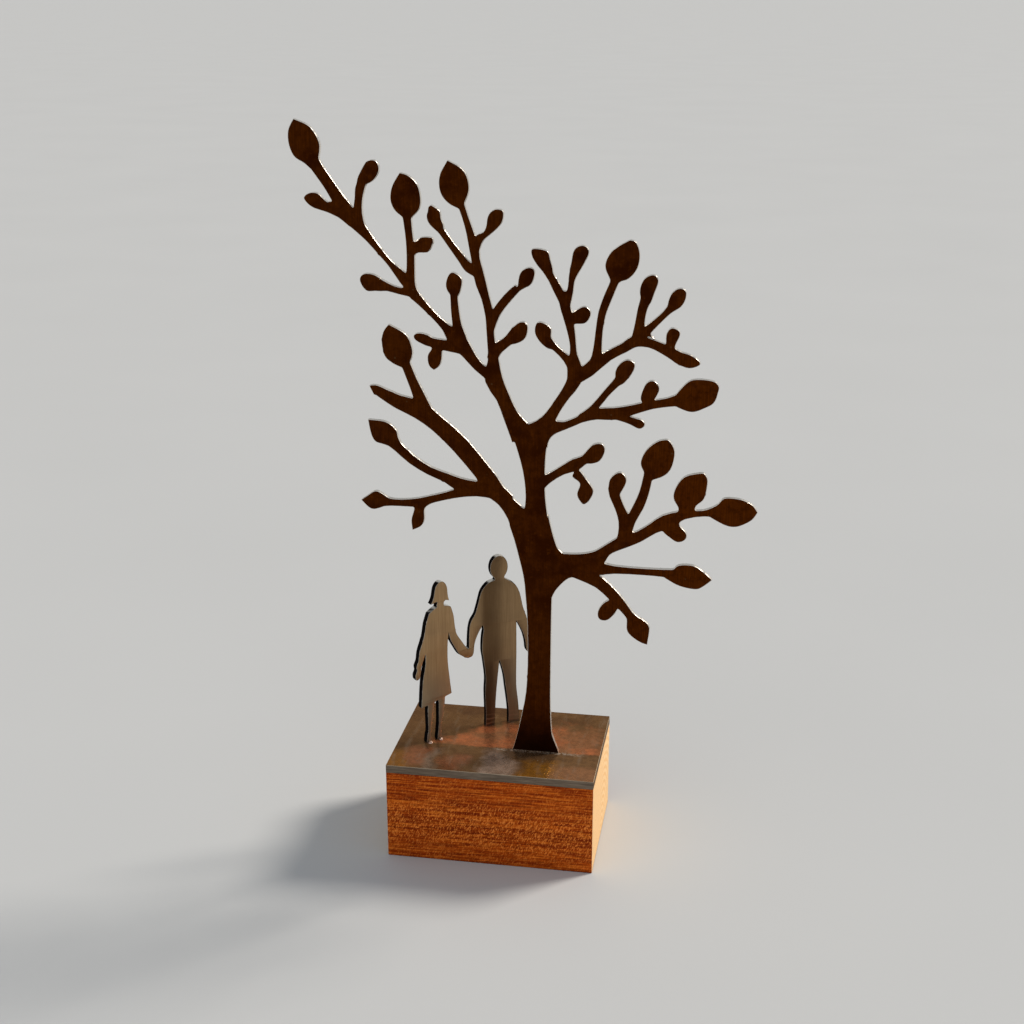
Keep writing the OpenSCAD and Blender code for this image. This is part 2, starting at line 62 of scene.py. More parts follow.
class Shader:
    """A node material, with short calls for the nodes that the materials below share."""

    def __init__(self, name):
        self.material = bpy.data.materials.new(name)
        self.material.use_nodes = True
        self.tree = self.material.node_tree
        self.surface = self.tree.nodes["Principled BSDF"]
        self.place = self.tree.nodes.new("ShaderNodeTexCoord").outputs["Object"]

    def node(self, kind, inputs=None, **settings):
        made = self.tree.nodes.new("ShaderNode" + kind)
        for key, value in settings.items():
            setattr(made, key, value)
        for key, value in (inputs or {}).items():
            self.feed(made.inputs[key], value)
        return made

    def feed(self, socket, value):
        if isinstance(value, bpy.types.NodeSocket):
            self.tree.links.new(value, socket)
        else:
            socket.default_value = value

    def millimetres(self, stretch=(1, 1, 1), turn=(0, 0, 0)):
        """The place on the object in millimetres, with each axis times its stretch."""
        scale = [MM / s for s in stretch]
        made = self.node("Mapping", {"Vector": self.place, "Scale": scale, "Rotation": turn},
                         vector_type="TEXTURE")
        return made.outputs["Vector"]

    def noise(self, size, stretch=(1, 1, 1), detail=3, roughness=0.55, distortion=0, turn=(0, 0, 0)):
        """Soft noise, features about size millimetres across, longer along an axis of small stretch."""
        made = self.node("TexNoise", {
            "Vector": self.millimetres([s / size for s in stretch], turn), "Scale": 1.0,
            "Detail": detail, "Roughness": roughness, "Distortion": distortion})
        return made.outputs["Fac"]

    def cells(self, size, stretch=(1, 1, 1)):
        place = self.millimetres([s / size for s in stretch])
        made = self.node("TexVoronoi", {"Vector": place, "Scale": 1.0})
        return made.outputs["Distance"]

    def calc(self, operation, a, b=0.0, clamp=False):
        made = self.node("Math", {0: a, 1: b}, operation=operation, use_clamp=clamp)
        return made.outputs[0]

    def band(self, value, low, high, to_low=0.0, to_high=1.0):
        """value from low to high becomes to_low to to_high, smoothly and clamped."""
        made = self.node("MapRange", {
            "Value": value, "From Min": low, "From Max": high, "To Min": to_low, "To Max": to_high},
            interpolation_type="SMOOTHSTEP")
        return made.outputs["Result"]

    def blend(self, share, a, b, kind="MIX"):
        made = self.node("Mix", data_type="RGBA", blend_type=kind)
        for socket, value in ((made.inputs[0], share), (made.inputs[6], a), (made.inputs[7], b)):
            ready = isinstance(value, (bpy.types.NodeSocket, float, int))
            self.feed(socket, value if ready else (*value, 1))
        return made.outputs[2]

    def axis(self, name):
        """One coordinate of the place, in millimetres."""
        split = self.node("SeparateXYZ", {"Vector": self.millimetres()})
        return split.outputs[name]

    def facing(self, direction):
        """How far the surface faces a direction of the object: 1 straight towards it, 0 across or away."""
        normal = self.node("NewGeometry").outputs["True Normal"]
        made = self.node("VectorMath", {0: normal, 1: direction}, operation="DOT_PRODUCT")
        return self.calc("MAXIMUM", made.outputs["Value"], 0.0)

    def bump(self, height, depth_mm, below=None):
        made = self.node("Bump", {"Height": height, "Strength": 1.0, "Distance": depth_mm * MM})
        if below is not None:
            self.feed(made.inputs["Normal"], below)
        return made.outputs["Normal"]

    def finish(self, colour, roughness, normal=None, **fixed):
        self.feed(self.surface.inputs["Base Color"], colour)
        self.feed(self.surface.inputs["Roughness"], roughness)
        if normal is not None:
            self.feed(self.surface.inputs["Normal"], normal)
        for key, value in fixed.items():
            self.surface.inputs[key.replace("_", " ").title().replace("Ior", "IOR")].default_value = value
        return self.material


def tree_face_material(foot_z):
    """Dark brown patina: faint mottling, fine upright polishing marks, nearly black over the foot, and
    painted light that makes the lower right lighter and redder.
    """
    s = Shader("tree_patina")
    mottle = s.noise(9, detail=5, roughness=0.6)
    cloud = s.noise(38, detail=2)
    streak = s.noise(0.5, stretch=(1, 1, 0.03), detail=2)
    colour = s.blend(s.band(mottle, 0.40, 0.60), (0.033, 0.0062, 0.0006), (0.068, 0.0150, 0.0011))
    colour = s.blend(s.band(cloud, 0.42, 0.60, 0, 0.6), colour, (0.078, 0.0185, 0.0012))
    # painted light: lighter and redder towards the lower right, where the light falls
    outer = s.band(s.calc("SUBTRACT", s.axis("X"), s.calc("MULTIPLY", s.axis("Z"), 0.20)), 8, 62, 0, 0.65)
    colour = s.blend(outer, colour, (0.112, 0.0240, 0.0009))
    blotch = s.noise(2.6, detail=4, roughness=0.7)
    colour = s.blend(s.band(blotch, 0.46, 0.66, 0, 0.55), colour, (0.030, 0.0058, 0.0005))
    colour = s.blend(s.band(blotch, 0.30, 0.44, 0.35, 0), colour, (0.130, 0.0330, 0.0016))
    colour = s.blend(s.band(streak, 0.35, 0.65, 0, 0.45), colour, (0.028, 0.0056, 0.0006))
    height = s.calc("ADD", s.axis("Z"), s.calc("MULTIPLY", mottle, 9.0))
    soot = s.band(height, foot_z + 8, foot_z + 31, 0.82, 0.0)
    colour = s.blend(soot, colour, (0.010, 0.0035, 0.0014))
    specks = s.band(s.cells(7), 0.05, 0.09, 0.5, 0.0)
    colour = s.blend(s.calc("MULTIPLY", specks, s.band(cloud, 0.5, 0.6)), colour, (0.10, 0.055, 0.026))
    rough = s.band(mottle, 0.3, 0.75, 0.40, 0.56)
    normal = s.bump(streak, 0.012, s.bump(s.noise(1.4, detail=4), 0.02))
    return s.finish(colour, rough, normal, metallic=1.0)


def tree_edge_painted_shade(s):
    """Painted shade: a little dull dark colour on the tree's edges where they face down."""
    return s.band(s.facing((0, 0, -1)), 0.15, 0.45, 0, 0.7)


def couple_edge_painted_shade(s):
    """Painted shade: the couple's edges are painted dull dark except on top and along the front arris on the
    left.
    """
    front = s.band(s.facing((0.62, -0.78, 0)), 0.30, 0.55, 0, 0.6)
    not_right = s.band(s.facing((1, 0, 0)), 0.40, 0.80, 1, 0)
    top = s.band(s.facing((0, 0, 1)), 0.80, 0.97)
    clean = s.calc("MAXIMUM", top, s.calc("MULTIPLY", front, not_right))
    return s.calc("SUBTRACT", 1.0, clean)


def cut_edge_material(name, bright, shade_colour, shade_mask):
    """Cut edge of a sheet: drag lines across it, with dull dark painted shade where the given mask puts it.
    """
    s = Shader(name)
    lines = s.noise(0.55, stretch=(1, 0.05, 1), detail=3)
    stain = s.noise(6, detail=4)
    colour = s.blend(s.band(lines, 0.3, 0.75, 0, 0.45), bright, [0.6 * c for c in bright])
    colour = s.blend(s.band(stain, 0.5, 0.8, 0, 0.3), colour, (0.32, 0.22, 0.13))
    # painted shade: where the mask says, the edge turns dull dark and not metallic
    scale = shade_mask(s)
    colour = s.blend(scale, colour, shade_colour)
    rough = s.band(lines, 0.3, 0.7, 0.26, 0.42)
    s.feed(s.surface.inputs["Metallic"], s.calc("SUBTRACT", 1.0, scale))
    return s.finish(colour, rough, s.bump(lines, 0.03), specular_ior_level=0.0)


def couple_face_material(fold_x, man_x, foot_z):
    """Steel brushed upright under a thin bronze lacquer, greyer and heat-banded above the feet, with painted
    shade on the man and painted contact shade along the feet.
    """
    s = Shader("couple_brushed")
    grain = s.noise(0.32, stretch=(1, 1, 0.02), detail=4, roughness=0.7)
    broad = s.noise(2.2, stretch=(1, 1, 0.05), detail=3)
    cloud = s.noise(16, detail=3)
    z = s.axis("Z")
    colour = s.blend(s.band(grain, 0.3, 0.7), (0.300, 0.185, 0.090), (0.445, 0.288, 0.148))
    colour = s.blend(s.band(broad, 0.35, 0.7, 0, 0.5), colour, (0.320, 0.200, 0.098))
    colour = s.blend(s.band(cloud, 0.45, 0.7, 0, 0.40), colour, (0.250, 0.160, 0.086))
    # the lacquer thins towards the feet
    bare = s.band(z, foot_z + 10, foot_z + 42, 0.85, 0.0)
    colour = s.blend(bare, colour, (0.300, 0.270, 0.200))
    # painted shade: the man is darker, most of all down the side next to the woman, for the tree trunk's
    # dark reflection and shade
    share = s.band(s.axis("X"), fold_x, man_x)
    colour = s.blend(s.band(share, 0.0, 0.08, 0.0, 0.25), colour, (0.110, 0.075, 0.042))
    inner = s.calc("MULTIPLY", s.band(share, 0.05, 0.17), s.band(share, 0.17, 0.62, 1, 0))
    inner = s.calc("MULTIPLY", inner, s.band(z, foot_z + 25, foot_z + 45, 0.90, 0.68))
    colour = s.blend(inner, colour, (0.075, 0.036, 0.014))
    wobble = s.calc("ADD", z, s.calc("MULTIPLY", s.noise(3), 1.6))
    rings = s.calc("SINE", s.calc("MULTIPLY", wobble, 2.6))
    low = s.band(z, foot_z + 2.5, foot_z + 9, 1.0, 0.0)
    colour = s.blend(s.calc("MULTIPLY", low, s.band(rings, 0.2, 0.9, 0, 0.5)), colour, (0.42, 0.30, 0.21))
    # painted contact shade: darkest in the lowest 2.5 mm, where the feet meet the plate
    near = s.band(z, foot_z, foot_z + 2.5, 0.6, 0.0)
    colour = s.blend(near, colour, (0.10, 0.060, 0.042))
    rough = s.band(grain, 0.25, 0.75, 0.34, 0.46)
    normal = s.bump(grain, 0.010, s.bump(s.noise(5, stretch=(1, 1, 0.3)), 0.02))
    return s.finish(colour, rough, normal, metallic=0.85, specular_ior_level=0.2,
                    specular_tint=(0.85, 0.72, 0.58, 1))


def patch(s, across, back, x_range, y_range, soft):
    """Mask of a soft-edged rectangle on the plate. across and back are the warped X and Y in millimetres."""
    mask = s.band(across, x_range[0] - soft, x_range[0] + soft)
    mask = s.calc("MULTIPLY", mask, s.band(across, x_range[1] - soft, x_range[1] + soft, 1, 0))
    mask = s.calc("MULTIPLY", mask, s.band(back, y_range[0] - soft, y_range[0] + soft))
    return s.calc("MULTIPLY", mask, s.band(back, y_range[1] - soft, y_range[1] + soft, 1, 0))


def plate_heat_patches(s, plate, across, back, colour):
    """Straw, copper and pale heat colours over the plate's top."""
    left, front, right = plate[0].x / MM, plate[0].y / MM, plate[1].x / MM
    # X range, Y range, softness of the border, colour, and how much of it
    patches = [
        ((left - 9, left + 11), (front - 9, front + 15), 5, (0.400, 0.165, 0.034), 0.85),
        ((left + 6, left + 19), (front + 3, front + 21), 4, (0.420, 0.160, 0.080), 0.80),
        ((left + 18, left + 24), (front - 9, front + 20), 3, (0.420, 0.300, 0.220), 0.60),
        ((left + 26, left + 37), (front + 1, front + 15), 4, (0.440, 0.160, 0.080), 0.75),
        ((left + 46, left + 59), (front - 9, front + 24), 4, (0.620, 0.440, 0.340), 0.80),
        ((left + 62, left + 81), (front - 9, front + 15), 4, (0.500, 0.205, 0.024), 0.90),
        ((right - 20, right + 9), (front - 9, front + 13), 5, (0.460, 0.210, 0.100), 0.85)]
    for x_range, y_range, soft, tint, share in patches:
        mask = patch(s, across, back, x_range, y_range, soft)
        colour = s.blend(s.calc("MULTIPLY", mask, share), colour, tint)
    return colour


def plate_copper(s, plate, fold, drift, back, edge, tree_face):
    """Mask of the copper heat colour in front of the couple, which ends at the line of the tree."""
    right, rear = plate[1].x / MM, plate[1].y / MM
    ragged = s.calc("MULTIPLY", s.calc("SUBTRACT", s.noise(7, detail=2), 0.5), 20.0)
    rise = s.calc("SUBTRACT", s.axis("Y"), s.calc("MULTIPLY", s.axis("X"), COPPER_SLOPE))
    rise = s.calc("ADD", s.calc("ADD", rise, s.calc("MULTIPLY", drift, 0.35)), ragged)
    line = (fold.y - COPPER_SLOPE * fold.x) / MM
    copper = s.band(rise, line - 7.0, line + 1.5, 1, 0)
    rear_edge = s.calc("ADD", back, ragged)
    copper = s.calc("MULTIPLY", copper, s.band(rear_edge, rear - 25, rear - 11, 1, 0))
    copper = s.calc("MULTIPLY", copper, s.band(edge, tree_face + 0.8, tree_face + 3.2))
    return s.calc("MULTIPLY", copper, s.band(s.axis("X"), right - 5, right - 1, 1, 0.5))


def plate_spatter(s, front, back, edge, tree_face, colour):
    """Pale scale and spatter left by the weld along the tree's foot."""
    speck = s.noise(0.9, detail=3)
    off = s.calc("ABSOLUTE", s.calc("SUBTRACT", edge, tree_face + 0.8))
    scale = s.calc("MULTIPLY", s.band(off, 0.3, 1.6, 1, 0), s.band(speck, 0.42, 0.58))
    scale = s.calc("MULTIPLY", scale, patch(s, s.axis("X"), back, (-2, 40), (front, 0), 5))
    colour = s.blend(s.calc("MULTIPLY", scale, 0.85), colour, (0.72, 0.58, 0.46))
    dots = s.calc("MULTIPLY", s.band(s.cells(1.5), 0.10, 0.26, 1, 0), s.band(speck, 0.48, 0.56))
    dots = s.calc("MULTIPLY", dots, patch(s, s.axis("X"), s.axis("Y"), (17, 28), (-22, -10), 2))
    return s.blend(s.calc("MULTIPLY", dots, 0.8), colour, (0.75, 0.62, 0.46))


def plate_sides(s, colour):
    """The colour with the plate's sides ground along their length and a painted highlight on their arris,
    and the mask of those sides.
    """
    lines = s.noise(0.40, stretch=(0.04, 0.04, 1), detail=3)
    ground = s.blend(s.band(lines, 0.3, 0.7), (0.120, 0.090, 0.066), (0.230, 0.180, 0.135))
    up = s.facing((0, 0, 1))
    side = s.band(up, 0.75, 0.95, 1, 0)
    colour = s.blend(side, colour, ground)
    # painted highlight: a pale line along the arris between the top and the sides
    arris = s.calc("MULTIPLY", s.band(up, 0.15, 0.4), side)
    return s.blend(s.calc("MULTIPLY", arris, 0.8), colour, (0.60, 0.50, 0.36)), side


def plate_material(plate, fold, tree_face):
    """Steel plate: heat colours on the top, grey ground sides with a painted highlight along the arris."""
    s = Shader("plate_heat_tint")
    fine = s.noise(2.4, detail=5, roughness=0.65)
    wipe = s.noise(3.5, stretch=(1, 0.2, 1), detail=3)
    cloud = s.noise(14, detail=3, distortion=0.5)
    drift = s.calc("MULTIPLY", s.calc("SUBTRACT", cloud, 0.5), 22.0)
    across = s.calc("ADD", s.axis("X"), drift)
    back = s.calc("ADD", s.axis("Y"), s.calc("MULTIPLY", drift, 0.7))
    edge = s.calc("ADD", s.axis("Y"), s.calc("MULTIPLY", fine, 3.0))
    colour = s.blend(s.band(cloud, 0.35, 0.65), (0.195, 0.100, 0.046), (0.275, 0.145, 0.066))
    colour = plate_heat_patches(s, plate, across, back, colour)
    hot = s.blend(s.band(s.noise(11, stretch=(0.5, 1, 1), detail=1), 0.40, 0.60),
                  (0.430, 0.185, 0.085), (0.680, 0.220, 0.090))
    colour = s.blend(plate_copper(s, plate, fold, drift, back, edge, tree_face), colour, hot)
    colour = s.blend(s.band(fine, 0.35, 0.65, 0.30, 0), colour, (0.110, 0.060, 0.034))
    colour = s.blend(s.band(wipe, 0.52, 0.75, 0, 0.30), colour, (0.420, 0.300, 0.210))
    colour = plate_spatter(s, plate[0].y / MM, back, edge, tree_face, colour)
    colour, side = plate_sides(s, colour)
    rough = s.calc("ADD", s.band(fine, 0.3, 0.75, 0.22, 0.34), s.calc("MULTIPLY", side, 0.18))
    normal = s.bump(s.noise(0.8, detail=4), 0.008, s.bump(cloud, 0.05))
    return s.finish(colour, rough, normal, metallic=0.72, specular_ior_level=0.3,
                    specular_tint=(0.50, 0.33, 0.20, 1))


def ribbon_flecks(s, middle, cloud, colour):
    """Slanting light and dark flecks, strongest in a band about the block's middle height."""
    fleck = s.noise(0.43, stretch=(1, 1, 0.34), detail=1, roughness=0.5, turn=(0, 0.42, 0))
    height = s.calc("ADD", s.axis("Z"), s.calc("MULTIPLY", s.calc("SUBTRACT", cloud, 0.5), 16.0))
    ribbon = s.calc("MULTIPLY", s.band(height, middle - 16, middle - 8, 0.50, 1),
                    s.band(height, middle + 3, middle + 12, 1, 0.40))
    light = s.calc("MULTIPLY", s.band(fleck, 0.52, 0.66), ribbon)
    dark = s.calc("MULTIPLY", s.band(fleck, 0.34, 0.47, 1, 0), ribbon)
    colour = s.blend(s.calc("MULTIPLY", light, 0.90), colour, (0.930, 0.270, 0.045))
    return s.blend(s.calc("MULTIPLY", dark, 0.65), colour, (0.150, 0.012, 0.0004))


def end_grain_painted_lit(s, lines):
    """The ends show growth rings, with the pores as dots, and are painted much paler as painted light, for
    the light falling full on the end.
    """
    dots = s.cells(0.55, stretch=(0.05, 1, 1))
    rings = s.node("TexWave", {
        "Vector": s.millimetres((0.003, 0.16, 0.18)), "Scale": 0.5, "Distortion": 2.4, "Detail": 3,
        "Detail Scale": 0.6}, wave_type="RINGS", rings_direction="X").outputs["Fac"]
    colour = s.blend(s.band(rings, 0.2, 0.9), (0.92, 0.62, 0.33), (0.85, 0.52, 0.24))
    colour = s.blend(s.band(dots, 0.10, 0.24, 0.5, 0), colour, (0.42, 0.19, 0.07))
    return s.blend(s.band(lines, 0.34, 0.47, 0.3, 0), colour, (0.42, 0.19, 0.07))


def wood_material(block):
    """Reddish hardwood along X: fine wavy lines, bands of slanting ribbon flecks, pores, end grain painted
    pale as painted light, and a painted contact shadow along the bottom.
    """
    s = Shader("block_hardwood")
    base, top = block[0].z / MM, block[1].z / MM
    cloud = s.noise(13, stretch=(0.35, 1, 1), detail=3)
    lines = s.noise(1.05, stretch=(0.050, 1, 1), detail=4, roughness=0.65, distortion=0.35,
                    turn=(0, -0.015, 0))
    veins = s.noise(2.6, stretch=(0.022, 1, 1), detail=1, distortion=0.1, turn=(0, 0.012, 0))
    threads = s.noise(0.62, stretch=(0.045, 1, 1), detail=2, distortion=0.2, turn=(0, -0.010, 0))
    pores = s.noise(0.32, stretch=(0.10, 1, 1), detail=2)
    colour = s.blend(s.band(cloud, 0.35, 0.68), (0.360, 0.047, 0.0018), (0.520, 0.084, 0.0040))
    colour = s.blend(s.band(lines, 0.50, 0.64, 0, 0.70), colour, (0.780, 0.175, 0.014))
    colour = s.blend(s.band(lines, 0.36, 0.48, 0.60, 0), colour, (0.170, 0.014, 0.0006))
    colour = s.blend(s.band(veins, 0.34, 0.44, 0.40, 0), colour, (0.140, 0.012, 0.0006))
    colour = ribbon_flecks(s, (base + top) / 2, cloud, colour)
    colour = s.blend(s.band(threads, 0.36, 0.47, 0.55, 0), colour, (0.160, 0.014, 0.0005))
    colour = s.blend(s.band(threads, 0.55, 0.66, 0, 0.45), colour, (0.820, 0.210, 0.022))
    colour = s.blend(s.band(pores, 0.30, 0.42, 0.45, 0), colour, (0.060, 0.012, 0.002))
    # painted light: the end faces take the pale end-grain colour
    ends = s.band(s.calc("MAXIMUM", s.facing((1, 0, 0)), s.facing((-1, 0, 0))), 0.6, 0.9)
    colour = s.blend(ends, colour, end_grain_painted_lit(s, lines))
    # painted contact shadow: darker in the bottom 2 mm, where the block sits on the floor
    painted_contact_shadow = s.band(s.axis("Z"), base, base + 2.0, 0.4, 0)
    colour = s.blend(painted_contact_shadow, colour, (0.080, 0.015, 0.0020))
    rough = s.band(lines, 0.3, 0.7, 0.50, 0.66)
    normal = s.bump(pores, 0.06, s.bump(lines, 0.03))
    return s.finish(colour, rough, normal, specular_ior_level=0.05)


def weld_material():
    """Weld bead: bright crests, straw and violet heat colours and a little soot in the ripples."""
    s = Shader("weld_bead")
    heat = s.noise(1.6, detail=3)
    grit = s.noise(0.25, detail=4)
    colour = s.blend(s.band(heat, 0.35, 0.65), (0.62, 0.46, 0.38), (0.40, 0.24, 0.17))
    colour = s.blend(s.band(heat, 0.6, 0.8, 0, 0.6), colour, (0.24, 0.15, 0.20))
    colour = s.blend(s.band(grit, 0.25, 0.45, 0.6, 0), colour, (0.05, 0.035, 0.03))
    return s.finish(colour, s.band(grit, 0.3, 0.7, 0.25, 0.5), s.bump(grit, 0.04), metallic=1.0)


def plated_material(name, light, dark, rough_low):
    """Plated steel fixing: cloudy plating with fine turning marks and dulled corners."""
    s = Shader(name)
    cloud = s.noise(2.2, detail=4)
    marks = s.noise(0.18, stretch=(1, 1, 3), detail=2)
    colour = s.blend(s.band(cloud, 0.3, 0.7), light, dark)
    colour = s.blend(s.band(marks, 0.6, 0.8, 0, 0.3), colour, [0.55 * c for c in dark])
    rough = s.band(cloud, 0.3, 0.7, rough_low, rough_low + 0.16)
    return s.finish(colour, rough, s.bump(marks, 0.008), metallic=1.0)


def floor_material():
    s = Shader("floor_pale")
    tone = s.blend(s.noise(260, detail=2), (0.55, 0.56, 0.57), (0.58, 0.59, 0.60))
    return s.finish(tone, 0.85, specular_ior_level=0.1)


# ---------------------------------------------------------------- outlines


def merged(node):
    """A welded copy of a CAD node's mesh."""
    made = bmesh.new()
    made.from_mesh(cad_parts[node].data)
    bmesh.ops.remove_doubles(made, verts=made.verts, dist=SAME_PLACE / 2)
    return made


def outline(bm, normal, distance):
    """The closed outline of the flat face of bm that faces normal, at that distance from the origin."""
    flat = {f for f in bm.faces
            if f.normal.dot(normal) > 0.9999 and abs(f.verts[0].co.dot(normal) - distance) < SAME_PLACE}
    border = [e for e in bm.edges if sum(f in flat for f in e.link_faces) == 1]
    ahead = {}
    for edge in border:
        face = next(f for f in edge.link_faces if f in flat)
        corners = list(face.verts)
        a, b = edge.verts
        if corners[(corners.index(a) + 1) % len(corners)] is not b:
            a, b = b, a
        ahead[a] = b
    start = here = border[0].verts[0]
    loop = []
    while True:
        loop.append(here.co.copy())
        here = ahead[here]
        if here is start:
            return loop


def resample(points, step):
    """The closed outline points, spaced evenly about step apart."""
    closed = np.vstack([points, points[:1]])
    run = np.concatenate([[0], np.cumsum(np.linalg.norm(np.diff(closed, axis=0), axis=1))])
    count = int(round(run[-1] / step))
    at = np.linspace(0, run[-1], count, endpoint=False)
    return np.column_stack([np.interp(at, run, closed[:, k]) for k in (0, 1)])


def sharp_corners(points, reach, least):
    """Indexes of the outward corners that turn more than least degrees within reach points either way."""
    back = points - np.roll(points, reach, axis=0)
    fore = np.roll(points, -reach, axis=0) - points
    turn = np.degrees(np.arctan2(back[:, 0] * fore[:, 1] - back[:, 1] * fore[:, 0], (back * fore).sum(1)))
    best = [max(turn[(i + k) % len(turn)] for k in range(-reach, reach + 1)) for i in range(len(turn))]
    return [i for i in range(len(turn)) if turn[i] > least and turn[i] >= best[i]]


def soften(points, step, radius, least=58):
    """Rounds the forks and small steps of an outline that runs anticlockwise, and keeps its sharp tips."""
    points = resample(points, step)
    count = len(points)
    free = np.ones(count)
    for corner in sharp_corners(points, max(2, int(1.8 * MM / step)), least):
        for k in range(-4, 5):
            free[(corner + k) % count] = min(free[(corner + k) % count], 0.12 + 0.22 * abs(k))
    rounds = int(2 * (radius / step) ** 2)
    for _ in range(rounds):
        middle = (np.roll(points, 1, axis=0) + np.roll(points, -1, axis=0)) / 2
        points = points + 0.5 * free[:, None] * (middle - points)
    return points


def inward(points):
    """Unit vectors from each point of an anticlockwise outline towards the inside."""
    along = np.roll(points, -1, axis=0) - np.roll(points, 1, axis=0)
    along /= np.linalg.norm(along, axis=1)[:, None]
    return np.column_stack([-along[:, 1], along[:, 0]])


def anticlockwise(points):
    after = np.roll(points, -1, axis=0)
    area = (points[:, 0] * after[:, 1] - points[:, 1] * after[:, 0]).sum()
    return points if area > 0 else points[::-1]


# ---------------------------------------------------------------- building meshes


def join_rows(bm, rows):
    """Smooth faces between rows of corners that each close on themselves."""
    for first, second in zip(rows, rows[1:]):
        for k in range(len(first)):
            j = (k + 1) % len(first)
            bm.faces.new((first[k], first[j], second[j], second[k])).smooth = True


def add_object(name, bm, materials, nodes=()):
    """Turns bm into a piece that rides with the object and stands for the named CAD nodes."""
    mesh = bpy.data.meshes.new(name)
    bm.to_mesh(mesh)
    bm.free()
    mesh.set_sharp_from_angle(angle=math.radians(32))
    piece = bpy.data.objects.new(name, mesh)
    bpy.context.scene.collection.objects.link(piece)
    for material in materials:
        mesh.materials.append(material)
    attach(piece, BODY)
    if nodes:
        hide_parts(*nodes)
    return piece


def cut_sheet(points, thickness, place, seed, arris=0.18 * MM):
    """A cut sheet: flat front and back, small arrises, and cut walls with drag lines and a few burrs.

    place(across, up, depth) gives the position of a point of the sheet. Faces have material 0, walls 1.
    """
    rng = random.Random(seed)
    side = inward(points)
    count = len(points)
    burrs = np.zeros(count)
    for _ in range(count // 420):
        centre = rng.randrange(count)
        size = rng.uniform(0.10, 0.24) * MM
        for k in range(-2, 3):
            burrs[(centre + k) % count] = -size * (1 - abs(k) / 3)
    drag = np.array([rng.gauss(0, 1) for _ in range(count)])
    drag = (drag + np.roll(drag, 1) + np.roll(drag, -1)) / 3 * 0.03 * MM
    levels = [(arris, 0.0), (0.28 * arris, 0.28 * arris), (0.0, arris)]
    middle = [(0.0, thickness * share) for share in (0.3, 0.5, 0.7)]
    levels = levels + middle + [(inset, thickness - depth) for inset, depth in reversed(levels)]
    bm = bmesh.new()
    rings = []
    for row, (inset, depth) in enumerate(levels):
        lag = row - len(levels) // 2
        wall = np.roll(drag, lag) if 2 <= row <= len(levels) - 3 else 0
        moved = points + side * (inset + wall + burrs)[:, None]
        rings.append([bm.verts.new(place(a, u, depth)) for a, u in moved.tolist()])
    for first, second in zip(rings, rings[1:]):
        for i in range(count):
            j = (i + 1) % count
            face = bm.faces.new((first[i], first[j], second[j], second[i]))
            face.material_index = 1
            face.smooth = True
    flat = [Vector((a, u, 0)) for a, u in (points + side * arris).tolist()]
    for triangle in tessellate_polygon([flat]):
        for cap in (rings[0], rings[-1]):
            bm.faces.new([cap[k] for k in triangle])
    bmesh.ops.recalc_face_normals(bm, faces=bm.faces)
    return bm


def dressed(node, bevel, segments=3):
    """A CAD node's shape with its flat faces joined up and its sharp edges softened."""
    bm = merged(node)
    bmesh.ops.dissolve_limit(bm, angle_limit=math.radians(1), verts=bm.verts, edges=bm.edges)
    sharp = [e for e in bm.edges if e.is_manifold and e.calc_face_angle(0) > math.radians(40)]
    bmesh.ops.bevel(bm, geom=sharp, offset=bevel, segments=segments, profile=0.6, affect="EDGES",
                    clamp_overlap=True)
    for face in bm.faces:
        face.smooth = True
    return bm


def turned(bm, centre, profile, steps):
    """A closed ring around the upright line through centre. profile(angle) lists [radius, height]."""
    rings = []
    for k in range(steps):
        angle = math.tau * k / steps
        rings.append([bm.verts.new(centre + Vector((r * math.cos(angle), r * math.sin(angle), z)))
                      for r, z in profile(angle)])
    for first, second in zip(rings, rings[1:] + rings[:1]):
        for i in range(len(first)):
            j = (i + 1) % len(first)
            bm.faces.new((first[i], second[i], second[j], first[j])).smooth = True


# ---------------------------------------------------------------- the sheets


def tree_sheet():
    low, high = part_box("tree")
    bm = merged("tree")
    loop = outline(bm, Vector((0, -1, 0)), -low.y)
    bm.free()
    flat = anticlockwise(np.array([[p.x, p.z] for p in loop]))
    flat = soften(flat, 0.36 * MM, 0.62 * MM)
    # the foot stays on the plate
    flat[:, 1] = np.maximum(flat[:, 1], low.z)
    made = cut_sheet(flat, high.y - low.y, lambda a, u, d: (a, low.y + d, u), seed=11)
    edge = cut_edge_material("tree_cut_edge", (0.86, 0.80, 0.72), (0.06, 0.035, 0.02), tree_edge_painted_shade)
    return add_object("tree_sheet", made, [tree_face_material(low.z / MM), edge], ["tree"])


def couple_fronts(bm):
    """The couple's two front planes as (normal, distance), the woman's first, and the fold's place."""
    areas = {}
    for face in bm.faces:
        if abs(face.normal.z) < 1e-4 and face.normal.y < 0:
            key = (round(face.normal.x, 3), round(face.normal.y, 3))
            areas[key] = areas.get(key, 0) + face.calc_area()
    planes = []
    for key in sorted(areas, key=areas.get)[-2:]:
        faces = [f for f in bm.faces if (f.normal.xy - Vector(key)).length < 2e-3]
        face = max(faces, key=lambda f: f.calc_area())
        planes.append((face.normal.copy(), face.verts[0].co.dot(face.normal)))
    woman, man = sorted(planes, key=lambda plane: -plane[0].x)
    sides = np.array([[p[0].x, p[0].y] for p in (woman, man)])
    fold = np.linalg.solve(sides, [woman[1], man[1]]).tolist()
    return woman, man, Vector((*fold, 0))


def unfolded(bm, plane, fold):
    """One half's outline as [distance along the sheet from the fold, height]."""
    normal, distance = plane
    along = Vector((-normal.y, normal.x, 0))
    points = [((p - fold).dot(along), p.z) for p in outline(bm, normal, distance)]
    # start after the fold's own edge, so that the two halves join into one outline
    at_fold = [abs(p[0]) < SAME_PLACE for p in points]
    start = next(i for i in range(len(points)) if at_fold[i] and at_fold[i - 1])
    return points[start:] + points[:start]


